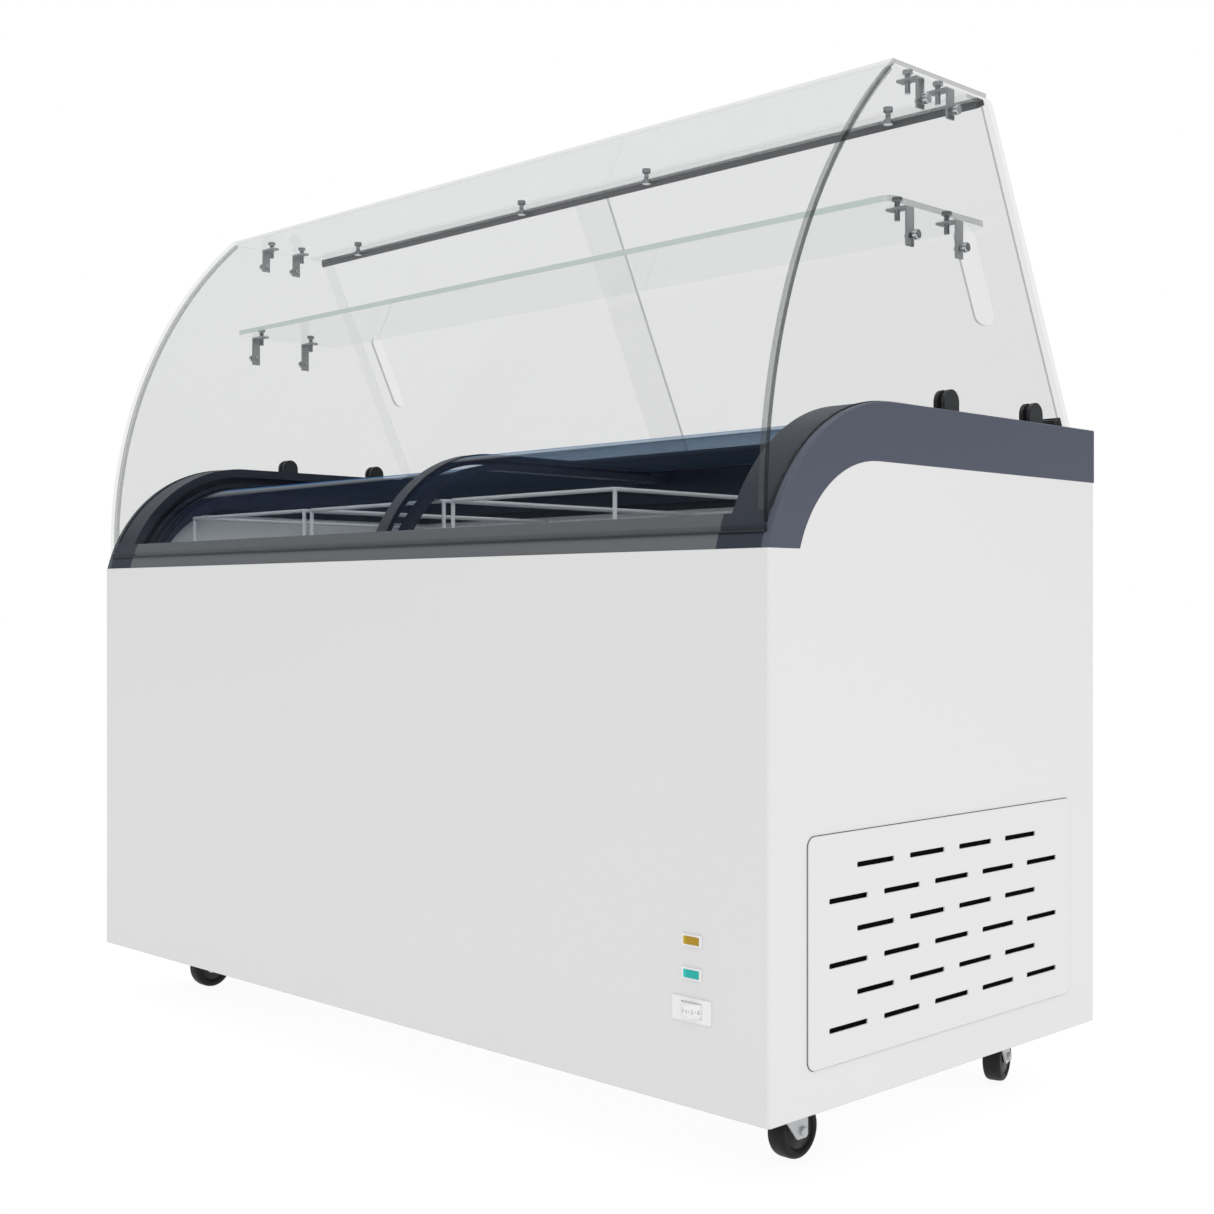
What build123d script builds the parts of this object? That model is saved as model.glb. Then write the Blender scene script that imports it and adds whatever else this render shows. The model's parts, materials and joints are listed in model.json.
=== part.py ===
from build123d import *
import math
import os

# Ice cream dipping cabinet: a chest freezer on castors with two sliding curved glass lids, and a
# glass serving canopy with a shelf and two sliding rear doors. Millimetres, +Z up. The origin is on
# the floor at the centre of the cabinet. The customer stands at -Y and the server at +Y.

# ---- cabinet ----
LENGTH = 1480.0
DEPTH = 708.0
BODY_Z = 85.0                       # underside of the cabinet, the castors' height
SHELL = 1.5                         # outer sheet
HALF_X = LENGTH / 2
HALF_Y = DEPTH / 2
FRONT_TOP = BODY_Z + 643            # top of the front wall

# ---- rim and lids: their curved fronts are arcs about one axis along X ----
CREST_Y = -119.0
CREST_Z = BODY_Z + 583
RIM_R = 241.0                       # outside of the rim
OUTER_LID_R = 217.0                 # underside of the upper lid's frame
INNER_LID_R = 199.0                 # underside of the lower lid's frame
LID_T = 8.0
LID_GLASS_T = 4.0
LID_TRIM = 24.0                     # width of a lid's end trim
LID_REAR = 250.0
LID_FRONT_Z = BODY_Z + 655
LID_END = 688.0
LEFT_LID_X = (-LID_END, 28.0)       # the lower lid
RIGHT_LID_X = (-20.0, LID_END)      # the upper lid
RIM_TOP = CREST_Z + RIM_R
CAP_INNER = 690.0                   # the rim cap's solid part starts here
CAP_TRIM = 660.0                    # the rim cap reaches in to here
FASCIA_TOP = BODY_Z + 684
FASCIA_T = 12.0
REAR_COVER_Y = 262.0
# the side wall's own curved shoulder, under the rim cap
SHOULDER_Y = -150.5
SHOULDER_R = 157.0
SHOULDER_Z = BODY_Z + 593.5

# ---- storage well ----
WELL_X = (-682.0, 412.0)
STEP_X = 682.0
WELL_Y = 296.0
WELL_FLOOR = BODY_Z + 55
STEP_FLOOR = BODY_Z + 365
LINER_T = 1.5
COLLAR_BASE = BODY_Z + 740
BASKET_X = -654.0
BASKET_LENGTH = 333.0
BASKET_GAP = 18.0
BASKET_Y = (-235.0, 280.0)
BASKET_TOP = BODY_Z + 734
BASKET_FLOOR = BODY_Z + 497
BASKET_WAIST = BODY_Z + 676          # the rim where the close uprights stop
MACHINE_X = 430.0
MACHINE_TOP = BODY_Z + 345

# ---- canopy ----
GLASS = 6.0
DOOR_GLASS = 5.0
SHELF_GLASS = 8.0
CANOPY_X = 730.0
CANOPY_TOP = BODY_Z + 1242
BOW_Y = 412.5                       # axis of the bowed front glass
BOW_Z = BODY_Z + 684
BOW_R = 763.0
BOW_FOOT = BODY_Z + 663
SEAT_DEPTH = 1.5                    # seal between the front glass and the ledge it stands on
PANE_SEAL = 1.2                     # seal under the side panes
SHELF_TOP = BODY_Z + 1079.5
SHELF_Y = (-104.0, 109.5)
TOP_REAR = 96.0
DOOR_FOOT_Y = 288.0
DOOR_HEAD_Y = 94.0
DOOR_HEAD_Z = BODY_Z + 1226
DOOR_GAP = 4.4                      # each door's offset from the middle of the track
DOOR_LAP = 40.0
DOOR_HIGH = 451.0                   # the doors' upper edge, measured up their slope
HANGER_Y = (60.0, 84.0)
TRACK_W = 17.0
DOOR_END = 722.0
SHELF_BRACKET_Y = (-63.0, 45.0)
TOP_BRACKET_Y = (-41.0, 25.0)
CLIP_Y = (10.0, 210.0)
STUD_X = (-593.0, -143.0, 143.0, 593.0)
STUD_Y = 72.0

# ---- castors ----
CASTOR_X = 651.0
CASTOR_Y = 233.0
WHEEL_R = 35.0
WHEEL_W = 25.0
TRAIL = 30.0
AXLE_R = 4.0
KINGPIN_R = 6.0
RUNNING = 0.05                      # radial clearance of a turning fit
CASTORS = {
    "front_left": (-1, -1, 0),
    "front_right": (1, -1, 0),
    "rear_left": (-1, 1, 0),
    "rear_right": (1, 1, 18),
}

# ---- ventilation panel at the right end ----
GRILLE = (573.0, 266.0)
GRILLE_T = 2.0
GRILLE_Z = BODY_Z + 183
SLOT = (73.4, 6.4)
SLOT_ROWS = 6
SLOT_PITCH = (105.9, 37.2)

# ---- controls on the front wall ----
CONTROL_X = 626.0
AMBER_Z = BODY_Z + 193.2
GREEN_Z = BODY_Z + 154.7
DIAL_Z = BODY_Z + 113.2
LAMP = (30.0, 14.0)
LENS = (24.0, 9.5)
BEZEL_PROUD = 2.5
LENS_PROUD = 4.2
DIAL_PLATE = (60.0, 28.0)
DIAL_R = 17.0
DIAL_H = 17.0
DIAL_PROUD = 9.0                    # how far the thumbwheel stands out of its plate
DIAL_PLATE_T = 2.0
DIAL_BODY = (50.0, 24.0)
DIAL_PIN_R = 3.0
DIAL_Y = -HALF_Y - DIAL_PLATE_T - DIAL_PROUD + DIAL_R

# ---- refrigeration ----
FAN_AT = (-60.0, BODY_Z + 150)
FAN_R = 92.0
FAN_SHAFT_R = 4.0
DUCT = 224.0                        # side of the fan's square duct
COMPRESSOR_AT = (555.0, 205.0)
COMPRESSOR_R = 78.0


def block(x, y, z):
    """A box from its low and high limits on each axis."""
    size = Box(x[1] - x[0], y[1] - y[0], z[1] - z[0])
    return Pos((x[0] + x[1]) / 2, (y[0] + y[1]) / 2, (z[0] + z[1]) / 2) * size


def about(centre, size):
    """The low and high limits of a size centred on a point."""
    return centre - size / 2, centre + size / 2


def prism(face, x0, x1):
    """A side profile, drawn in Y and Z, run along X."""
    return extrude(Plane.YZ.offset(x0) * face, amount=x1 - x0)


def rod(start, end, radius):
    """A round bar with domed ends."""
    a = Vector(*start)
    b = Vector(*end)
    bar = Solid.make_cylinder(radius, (b - a).length, Plane(origin=a, z_dir=b - a))
    return bar + Pos(*start) * Sphere(radius) + Pos(*end) * Sphere(radius)


def cylinder_x(y, z, radius, x0, x1):
    return prism(Pos(y, z) * Circle(radius), x0, x1)


def cylinder_z(x, y, radius, z0, z1):
    return Pos(x, y, (z0 + z1) / 2) * Cylinder(radius, z1 - z0)


def both_sides(shape):
    return [shape, mirror(shape, about=Plane.YZ)]


def hump(centre_y, centre_z, radius, base, rear):
    """The area under an arc that rises from the front to its crest and then runs level to the rear."""
    start = 180 - math.degrees(math.asin((base - centre_z) / radius))
    arc = CenterArc((centre_y, centre_z), radius, start, 90 - start)
    rest = Polyline(arc @ 1, (rear, centre_z + radius), (rear, base), arc @ 0)
    return make_face([*arc.edges(), *rest.edges()])


def crest(radius, base=FRONT_TOP, rear=HALF_Y):
    return hump(CREST_Y, CREST_Z, radius, base, rear)


def crest_band(low, high, base=FRONT_TOP, rear=HALF_Y):
    return crest(high, base, rear) - crest(low, base, rear)


def shoulder():
    """The part of the side wall above the front wall's top."""
    return hump(SHOULDER_Y, SHOULDER_Z, SHOULDER_R, FRONT_TOP, HALF_Y)


def side_profile():
    low = Pos(0, (BODY_Z + FRONT_TOP) / 2) * Rectangle(DEPTH, FRONT_TOP - BODY_Z)
    return low + shoulder()


# ---- cabinet ----

def service_opening():
    return block((HALF_X - 5, HALF_X + 5), (-262, 262), (BODY_Z + 72, BODY_Z + 294))


def control_openings():
    wall = (-HALF_Y - 5, -HALF_Y + 5)
    lamps = [block(about(CONTROL_X, 26), wall, about(z, 10)) for z in (AMBER_Z, GREEN_Z)]
    dial = block(about(CONTROL_X, DIAL_BODY[0]), wall, about(DIAL_Z, DIAL_BODY[1]))
    return lamps + [dial]


def rear_vents():
    slots = []
    for row in range(7):
        z = BODY_Z + 90 + row * 30
        slots.append(block((480, 680), (HALF_Y - 5, HALF_Y + 5), (z, z + 6)))
    return slots


def outer_casing():
    """The painted sheet that wraps the front, back and both ends."""
    tube = prism(side_profile(), -HALF_X, HALF_X)
    tube = fillet(tube.edges().filter_by(Axis.Z).filter_by(lambda e: e.length > 500), 4)
    inside = Pos(0, 0, BODY_Z + 400) * Box(LENGTH - 2 * SHELL, DEPTH - 2 * SHELL, 1200)
    inside = fillet(inside.edges().filter_by(Axis.Z), 4 - SHELL)
    return tube - inside - service_opening() - control_openings() - rear_vents()


def base_pan():
    """A folded steel tray that closes the bottom of the casing."""
    x = HALF_X - SHELL - 4
    y = HALF_Y - SHELL - 4
    tray = block((-x, x), (-y, y), (BODY_Z, BODY_Z + 22))
    return tray - block((-x + 2, x - 2), (-y + 2, y - 2), (BODY_Z + 2, BODY_Z + 30))


def well(extra, top=1000):
    """The storage well grown by extra on every side, with its raised floor over the machinery."""
    y = (-WELL_Y - extra, WELL_Y + extra)
    deep = block((WELL_X[0] - extra, WELL_X[1] + extra), y, (WELL_FLOOR - extra, top))
    shallow = block((WELL_X[0] - extra, STEP_X + extra), y, (STEP_FLOOR - extra, top))
    return deep + shallow


def inner_liner():
    tub = well(0) - well(-LINER_T, 1100)
    return tub & prism(side_profile(), -HALF_X, HALF_X)


def evaporator_coil():
    """Flattened tube wound round the outside of the liner, one turn above another."""
    x0 = WELL_X[0] - 9
    x1 = WELL_X[1] + 9
    y = WELL_Y + 9
    turns = []
    for turn in range(5):
        z = WELL_FLOOR + 60 + turn * 55
        outer = block((x0, x1), (-y, y), (z, z + 9))
        inner = block((x0 + 8, x1 - 8), (-y + 8, y - 8), (z - 1, z + 10))
        turns.append(outer - inner)
    risers = block((-200, -192), (y - 8, y), (WELL_FLOOR + 60, WELL_FLOOR + 289))
    coil = risers
    for turn in turns:
        coil = coil + turn
    return coil


def foam_insulation(coil):
    """Rigid foam between the casing and the liner, open over the machinery at the right end."""
    x = HALF_X - SHELL - 1
    y = HALF_Y - SHELL - 1
    core = prism(side_profile(), -x, x) & block((-x, x), (-y, y), (BODY_Z + 23, 1000))
    machine = block((MACHINE_X, HALF_X), (-HALF_Y, HALF_Y), (BODY_Z, MACHINE_TOP))
    return core - well(0) - machine - coil


def opening_collar():
    """A black plastic skirt over the joint of liner and foam, round the back and ends of the well."""
    outer = block((-STEP_X + LINER_T, STEP_X - LINER_T), (-WELL_Y + LINER_T, WELL_Y - LINER_T),
                  (COLLAR_BASE, 1000))
    inner = block((-STEP_X + 4.5, STEP_X - 4.5), (-WELL_Y - 10, WELL_Y - 4.5), (BODY_Z + 600, 1100))
    return (outer - inner) & prism(side_profile(), -HALF_X, HALF_X)


def fascia_profile():
    band = crest_band(RIM_R - FASCIA_T, RIM_R)
    lip_height = FASCIA_TOP - FRONT_TOP
    front = Pos(-310, FRONT_TOP + lip_height / 2) * Rectangle(110, lip_height)
    foot = Pos(-323, FRONT_TOP + 2.5) * Rectangle(40, 5)
    return (band & front) + foot


def glass_seat():
    """The rebate in the fascia and rim caps where the foot of the front glass stands."""
    floor = BOW_FOOT - SEAT_DEPTH
    ahead = Pos(-350, floor + 25) * Rectangle(100, 50) - Pos(BOW_Y, BOW_Z) * Circle(BOW_R - GLASS - 0.5)
    return prism(ahead, -CANOPY_X - 1, CANOPY_X + 1)


def front_fascia():
    """The grey extrusion along the top of the front wall, with the ledge for the front glass."""
    return prism(fascia_profile(), -CAP_TRIM, CAP_TRIM) - glass_seat()


def rim_cap():
    """The right end moulding: a curved cap with a lip and two lid tracks on its inner side."""
    cap = prism(crest(RIM_R) - shoulder(), CAP_INNER, HALF_X)
    cap = cap + prism(crest_band(OUTER_LID_R + LID_T + 1.5, RIM_R), CAP_INNER - 18, CAP_INNER)
    between = INNER_LID_R + LID_T + 1.5
    cap = cap + prism(crest_band(between, OUTER_LID_R - 1.5), CAP_INNER - 14, CAP_INNER)
    cap = cap + prism(crest(INNER_LID_R - 1.5) - shoulder(), CAP_TRIM, CAP_INNER)
    cap = cap + block((CAP_TRIM, CAP_INNER), (REAR_COVER_Y, HALF_Y), (BODY_Z + 750.5, RIM_TOP))
    cap = cap + prism(fascia_profile(), CAP_TRIM, CAP_INNER) - glass_seat()
    long_edges = cap.edges().filter_by(lambda e: e.center().X > HALF_X - 0.1 and e.length > 250)
    top_edges = [e for e in long_edges if e.center().Z > BODY_Z + 755]
    return fillet(top_edges, 2)


def rear_top_cover():
    """A hollow beam behind the lids that carries the lower door track."""
    beam = block((-CAP_TRIM, CAP_TRIM), (REAR_COVER_Y, HALF_Y), (BODY_Z + 750.5, RIM_TOP))
    inside = block((-CAP_TRIM, CAP_TRIM), (REAR_COVER_Y + 3, HALF_Y - 3), (BODY_Z + 700, RIM_TOP - 3))
    return beam - inside


# ---- ventilation panel at the right end ----

def service_grille():
    """A rounded sheet with staggered rows of slots, set just proud of the end wall."""
    face = RectangleRounded(GRILLE[0], GRILLE[1], 12)
    slot = RectangleRounded(SLOT[0], SLOT[1], 2)
    for row in range(SLOT_ROWS):
        count = 5 if row % 2 else 4
        z = (SLOT_ROWS / 2 - 0.5 - row) * SLOT_PITCH[1]
        for column in range(count):
            y = (column - (count - 1) / 2) * SLOT_PITCH[0]
            face = face - Pos(y, z) * slot
    return prism(Pos(0, GRILLE_Z) * face, HALF_X, HALF_X + GRILLE_T)


def grille_clips():
    """Spring clips on the back of the ventilation panel that snap behind the edge of the end wall."""
    clips = []
    inner = HALF_X - SHELL
    for side, level in ((-1, -60), (-1, 60), (1, -60), (1, 60)):
        z = about(GRILLE_Z + level, 16)
        leg = block((inner - 12, HALF_X), sorted((side * 257, side * 260)), z)
        hook = block((inner - 4, inner - 0.3), sorted((side * 259, side * 266)), z)
        clips.append(leg + hook)
    return clips


# ---- controls ----

def lamp_bezels():
    """White frames of the two pilot lamps, each with a snap-in body behind the front wall."""
    bezels = []
    for z in (AMBER_Z, GREEN_Z):
        frame = block(about(CONTROL_X, LAMP[0]), (-HALF_Y - BEZEL_PROUD, -HALF_Y), about(z, LAMP[1]))
        body = block(about(CONTROL_X, 26), (-HALF_Y, -HALF_Y + 20), about(z, 10))
        bezels.append(frame + body - lens(z))
    return bezels


def lens(z):
    bar = block(about(CONTROL_X, LENS[0]), (-HALF_Y - LENS_PROUD, -HALF_Y - 0.5), about(z, LENS[1]))
    return chamfer(bar.faces().sort_by(Axis.Y)[0].edges(), 1.3)


def thermostat_plate():
    """The scale plate round the thumbwheel, with the switch housing and the wheel's pin behind it."""
    plate = block(about(CONTROL_X, DIAL_PLATE[0]), (-HALF_Y - DIAL_PLATE_T, -HALF_Y),
                  about(DIAL_Z, DIAL_PLATE[1]))
    housing = block(about(CONTROL_X, DIAL_BODY[0]), (-HALF_Y, -HALF_Y + 44), about(DIAL_Z, DIAL_BODY[1]))
    gap = 0.5
    pocket = cylinder_z(CONTROL_X, DIAL_Y, DIAL_R + gap, *about(DIAL_Z, DIAL_H + 2 * gap))
    pin = cylinder_z(CONTROL_X, DIAL_Y, DIAL_PIN_R, *about(DIAL_Z, DIAL_BODY[1]))
    return plate + housing - pocket + pin


def thermostat_thumbwheel():
    """A wheel with a smooth face for its numbers and a notched lower rim, bored for the pin."""
    low, high = about(DIAL_Z, DIAL_H)
    wheel = cylinder_z(CONTROL_X, DIAL_Y, DIAL_R, low, high)
    wheel = chamfer(wheel.edges(), 0.8)
    wheel = wheel - cylinder_z(CONTROL_X, DIAL_Y, DIAL_PIN_R + RUNNING, low - 1, high + 1)
    notch = Pos(DIAL_R + 0.4, 0, low + 1.5) * Cylinder(1.0, 4)
    for tooth in range(30):
        wheel = wheel - Pos(CONTROL_X, DIAL_Y, 0) * Rot(0, 0, tooth * 12) * notch
    return wheel


# ---- refrigeration ----

def compressor():
    """A sealed compressor: two pressed steel halves with a weld seam, on a foot plate."""
    x, y = COMPRESSOR_AT
    base = BODY_Z + 22
    shell = cylinder_z(x, y, COMPRESSOR_R, base + 12, base + 158)
    shell = fillet(shell.edges(), 34)
    seam = cylinder_z(x, y, COMPRESSOR_R + 4, base + 84, base + 90)
    feet = block((x - 90, x + 90), (y - 55, y + 55), (base, base + 3))
    corners = [(x + sx * 40, y + sy * 30) for sx in (-1, 1) for sy in (-1, 1)]
    posts = [cylinder_z(*corner, 12, base, base + 40) for corner in corners]
    box = block((x - 112, x - 60), (y - 35, y + 35), (base + 60, base + 120))
    return shell + seam + feet + posts + box


def condenser():
    """A tube-and-fin block behind the ventilation panel."""
    y, z = FAN_AT
    low = z - 110
    high = z + 110
    fins = [block((700, 726), (y - 120 + n * 10, y - 118.5 + n * 10), (low, high)) for n in range(25)]
    stack = block((700, 726), (y - 122, y - 120), (low, high))
    for fin in fins:
        stack = stack + fin
    stack = stack + block((700, 726), (y + 121.5, y + 123.5), (low, high))
    for row in range(6):
        level = low + 20 + row * 36
        tube = block((709, 717), (y - 130, y + 130), (level, level + 8))
        stack = stack + tube
    return stack


def fan_duct(x0, x1):
    """A square frame of thin sheet round the fan."""
    y, z = FAN_AT
    outer = block((x0, x1), about(y, DUCT), about(z, DUCT))
    return outer - block((x0 - 6, x1 - 4), about(y, DUCT - 6), about(z, DUCT - 6))


def fan_motor():
    """The motor's round can and shaft on three struts that reach the duct's walls."""
    y, z = FAN_AT
    motor = cylinder_x(y, z, 34, 600, 650) + cylinder_x(y, z, FAN_SHAFT_R, 650, 686)
    struts = rod((640, y, z), (640, y, z + 150), 4)
    for turn in (210, 330):
        run = math.cos(math.radians(turn)) * 150
        rise = math.sin(math.radians(turn)) * 150
        struts = struts + rod((640, y, z), (640, y + run, z + rise), 4)
    return motor + (struts & block((600, 700), about(y, DUCT - 2), about(z, DUCT - 2)))


def fan_shroud():
    """A ducted plate with a round opening, standing on the base, with the fan's motor inside."""
    y, z = FAN_AT
    plate = fan_duct(662, 698) - cylinder_x(y, z, FAN_R + 6, 650, 700)
    low = z - DUCT / 2
    feet = block((650, 698), about(y, DUCT), (BODY_Z + 22, low + 3))
    feet = feet - block((640, 690), about(y, DUCT - 24), (BODY_Z + 25, low))
    rear = block((636, 662), about(y, DUCT), about(z, DUCT))
    rear = rear - block((630, 670), about(y, DUCT - 6), about(z, DUCT - 6))
    return plate + feet + rear + fan_motor()


def fan_blades():
    """A five-bladed fan with a bored hub."""
    y, z = FAN_AT
    hub = cylinder_x(y, z, 22, 664, 690)
    blade = block((675, 677.5), (-16, 16), (15, FAN_R))
    tilted = Pos(676, 0, 50) * Rot(0, 0, 28) * Pos(-676, 0, -50) * blade
    fan = hub
    for turn in range(5):
        fan = fan + Pos(0, y, z) * Rot(turn * 72, 0, 0) * tilted
    return fan - cylinder_x(y, z, FAN_SHAFT_R + RUNNING, 640, 700)


# ---- lids ----

def lid_slice(radius, thickness, x0, x1):
    return prism(crest_band(radius, radius + thickness, LID_FRONT_Z, LID_REAR), x0, x1)


def lid_glass(radius, x0, x1):
    return lid_slice(radius + 2, LID_GLASS_T, x0 + 10, x1 - 10)


def lid_frame(radius, x0, x1):
    """End trims that grip the curved glass, and cross rails under its front and rear edges."""
    glass = lid_glass(radius, x0, x1)
    trims = [lid_slice(radius, LID_T, x0, x0 + LID_TRIM) - glass]
    trims.append(lid_slice(radius, LID_T, x1 - LID_TRIM, x1) - glass)
    across = lid_slice(radius, LID_T, x0 + LID_TRIM, x1 - LID_TRIM) - glass
    front = across & block((x0, x1), (-400, -200), (LID_FRONT_Z, LID_FRONT_Z + 16))
    rear = across & block((x0, x1), (LID_REAR - 26, LID_REAR), (LID_FRONT_Z, 1000))
    return [*[s for t in trims for s in t.solids()], *front.solids(), *rear.solids()]


# ---- wire baskets ----

def basket_span(place):
    start = BASKET_X + place * (BASKET_LENGTH + BASKET_GAP)
    return start, start + BASKET_LENGTH


def basket(x0, x1):
    """A welded wire basket: an open guard rail on corner posts above a body of closer wires."""
    wire = 3.0
    y0, y1 = BASKET_Y
    top = BASKET_TOP - wire
    floor = BASKET_FLOOR + wire
    corners = [(x0, y0), (x1, y0), (x1, y1), (x0, y1)]
    bars = []
    for level, radius in ((top, wire), (BASKET_WAIST, wire - 0.5), (floor, wire)):
        for a, b in zip(corners, corners[1:] + corners[:1]):
            bars.append(rod((*a, level), (*b, level), radius))
    for x, y in corners:
        bars.append(rod((x, y, floor), (x, y, top), wire))
    thirds = [y0 + (y1 - y0) * n / 3 for n in (1, 2)]
    uprights = [((x0 + x1) / 2, y) for y in (y0, y1)] + [(x, y) for x in (x0, x1) for y in thirds]
    for x, y in uprights:
        bars.append(rod((x, y, floor), (x, y, BASKET_WAIST), wire))
    for n in range(1, 7):
        x = x0 + (x1 - x0) * n / 7
        bars.append(rod((x, y0, floor), (x, y1, floor), wire))
    for y in thirds:
        bars.append(rod((x0, y, floor), (x1, y, floor), wire))
    frame = bars[0]
    for bar in bars[1:]:
        frame = frame + bar
    return frame


def basket_rails():
    """Two angles along the well that the baskets stand on."""
    rails = []
    inner = WELL_Y - LINER_T
    x = (WELL_X[0] + 7, WELL_X[1] - 2)
    for side, width in ((-1, 80), (1, 34)):
        y = sorted((side * inner, side * (inner - width)))
        wall = sorted((side * inner, side * (inner - 2)))
        shelf = block(x, y, (BASKET_FLOOR - 3, BASKET_FLOOR))
        rails.append(shelf + block(x, wall, (BASKET_FLOOR - 30, BASKET_FLOOR)))
    return rails


# ---- canopy ----

def bow(outer, inner):
    centre = Pos(BOW_Y, BOW_Z)
    return centre * Circle(outer) - centre * Circle(inner)


def front_glass():
    strip = Pos(-200, (BOW_FOOT + CANOPY_TOP) / 2) * Rectangle(400, CANOPY_TOP - BOW_FOOT)
    return prism(bow(BOW_R, BOW_R - GLASS) & strip, -CANOPY_X, CANOPY_X)


def pin_holes(shape, places, radius, z0, z1):
    for x, y in places:
        shape = shape - cylinder_z(x, y, radius, z0, z1)
    return shape


def bracket_pins_at(levels_y):
    return [(side * 704, y) for side in (-1, 1) for y in levels_y]


def top_glass(front):
    sheet = block((-CANOPY_X, CANOPY_X), (-104, TOP_REAR), (CANOPY_TOP - GLASS, CANOPY_TOP))
    sheet = sheet - front
    places = bracket_pins_at(TOP_BRACKET_Y) + [(x, STUD_Y) for x in STUD_X]
    return pin_holes(sheet, places, 3.5, CANOPY_TOP - 10, CANOPY_TOP + 5)


def shelf_glass():
    sheet = block((-722, 722), SHELF_Y, (SHELF_TOP - SHELF_GLASS, SHELF_TOP))
    sheet = fillet(sheet.edges().filter_by(Axis.Z), 12)
    return pin_holes(sheet, bracket_pins_at(SHELF_BRACKET_Y), 3.5, SHELF_TOP - 20, SHELF_TOP + 5)


def side_pane():
    """The right end pane: it follows the front glass, the rim and the slope of the rear doors."""
    head = CANOPY_TOP - GLASS
    rear_foot = (307, RIM_TOP + PANE_SEAL)
    slope = (DOOR_HEAD_Y - DOOR_FOOT_Y) / (DOOR_HEAD_Z - RIM_TOP)
    rear_head = (rear_foot[0] + slope * (head - rear_foot[1]), head)
    outline = make_face(Polyline((-360, BOW_FOOT), (-360, head), rear_head, rear_foot,
                                 (307, BOW_FOOT), close=True))
    outline = outline & (Pos(BOW_Y, BOW_Z) * Circle(BOW_R - GLASS - 0.3))
    outline = outline - crest(RIM_R + PANE_SEAL, BOW_FOOT - 5, 400)
    corner = outline.vertices().filter_by(lambda v: v.Y > head - 1).sort_by(Axis.X)[-1]
    outline = fillet(corner, 16)
    pane = prism(outline, CANOPY_X - GLASS, CANOPY_X)
    for y, z in bolt_places():
        pane = pane - cylinder_x(y, z, 3.5, CANOPY_X - 20, CANOPY_X + 5)
    return pane


def bolt_places():
    shelf = [(y, SHELF_TOP - SHELF_GLASS - 36.5) for y in SHELF_BRACKET_Y]
    top = [(y, CANOPY_TOP - GLASS - 30) for y in TOP_BRACKET_Y]
    return shelf + top


def bracket(y, under_glass, length):
    """An angle on the inside of the side pane: one leg under the glass and one leg down the pane."""
    outer = CANOPY_X - GLASS
    leg = block((692, outer), (y - 7.5, y + 7.5), (under_glass - 3, under_glass))
    drop = block((outer - 3, outer), (y - 7.5, y + 7.5), (under_glass - length, under_glass))
    angle = leg + drop
    bend = angle.edges().filter_by(Axis.Y).sort_by(lambda e: e.center().Z * 10 + e.center().X)[-1]
    angle = fillet(bend, 2.5)
    return angle - cylinder_z(704, y, 3.5, under_glass - 10, under_glass + 5)


def shelf_brackets():
    made = []
    for y in SHELF_BRACKET_Y:
        angle = bracket(y, SHELF_TOP - SHELF_GLASS, 49.5)
        angle = angle - cylinder_x(y, bolt_places()[0][1], 3.5, 700, 750)
        made += both_sides(angle)
    return made


def top_brackets():
    made = []
    for y in TOP_BRACKET_Y:
        angle = bracket(y, CANOPY_TOP - GLASS, 40)
        angle = angle - cylinder_x(y, bolt_places()[2][1], 3.5, 700, 750)
        made += both_sides(angle)
    return made


def capped_pin(x, y, top):
    """A pin through a horizontal glass, with a round cap on top."""
    cap = cylinder_z(x, y, 6.5, top, top + 6)
    cap = fillet(cap.edges(), 1.2)
    return cap + cylinder_z(x, y, 3.5, top - 24, top)


def bracket_pins():
    pins = [capped_pin(x, y, SHELF_TOP) for x, y in bracket_pins_at(SHELF_BRACKET_Y)]
    pins += [capped_pin(x, y, CANOPY_TOP) for x, y in bracket_pins_at(TOP_BRACKET_Y)]
    return pins


def bracket_bolts():
    """Bolts through the side panes, each with a round cap outside and a domed end inside."""
    bolts = []
    for y, z in bolt_places():
        cap = cylinder_x(y, z, 6.5, CANOPY_X, CANOPY_X + 6)
        cap = fillet(cap.edges(), 1.2)
        bolt = cap + cylinder_x(y, z, 3.5, CANOPY_X - GLASS - 8, CANOPY_X)
        end = bolt.edges().sort_by(Axis.X)[0]
        bolts += both_sides(fillet(end, 2))
    return bolts


def canopy_clips():
    """Moulded clips on the rim that hold the side panes upright."""
    clips = []
    for y in CLIP_Y:
        face = Pos(y, RIM_TOP + 5.5) * Rectangle(32, 11) + Pos(y, RIM_TOP + 11) * Circle(16)
        face = face & (Pos(y, RIM_TOP + 20) * Rectangle(60, 40))
        inner = prism(face, CANOPY_X - GLASS - 5.5, CANOPY_X - GLASS)
        outer = prism(face, CANOPY_X, CANOPY_X + 5.5)
        web = block((CANOPY_X - GLASS, CANOPY_X), about(y, 32), (RIM_TOP, RIM_TOP + PANE_SEAL - 0.2))
        clips += both_sides(inner + web + outer)
    return clips


def canopy_seals():
    """Thin strips under the side panes, and one strip under the foot of the front glass."""
    strip = crest_band(RIM_R, RIM_R + PANE_SEAL, BODY_Z + 690, 306)
    strip = prism(strip, CANOPY_X - 5, CANOPY_X - 1)
    for y in CLIP_Y:
        strip = strip - block((700, 750), (y - 17, y + 17), (RIM_TOP - 5, RIM_TOP + 5))
    foot = Pos(-350, BOW_FOOT - SEAT_DEPTH / 2) * Rectangle(100, SEAT_DEPTH)
    seals = [prism(bow(BOW_R, BOW_R - GLASS) & foot, -CANOPY_X, CANOPY_X)]
    for piece in strip.solids():
        seals += both_sides(piece)
    return seals


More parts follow.
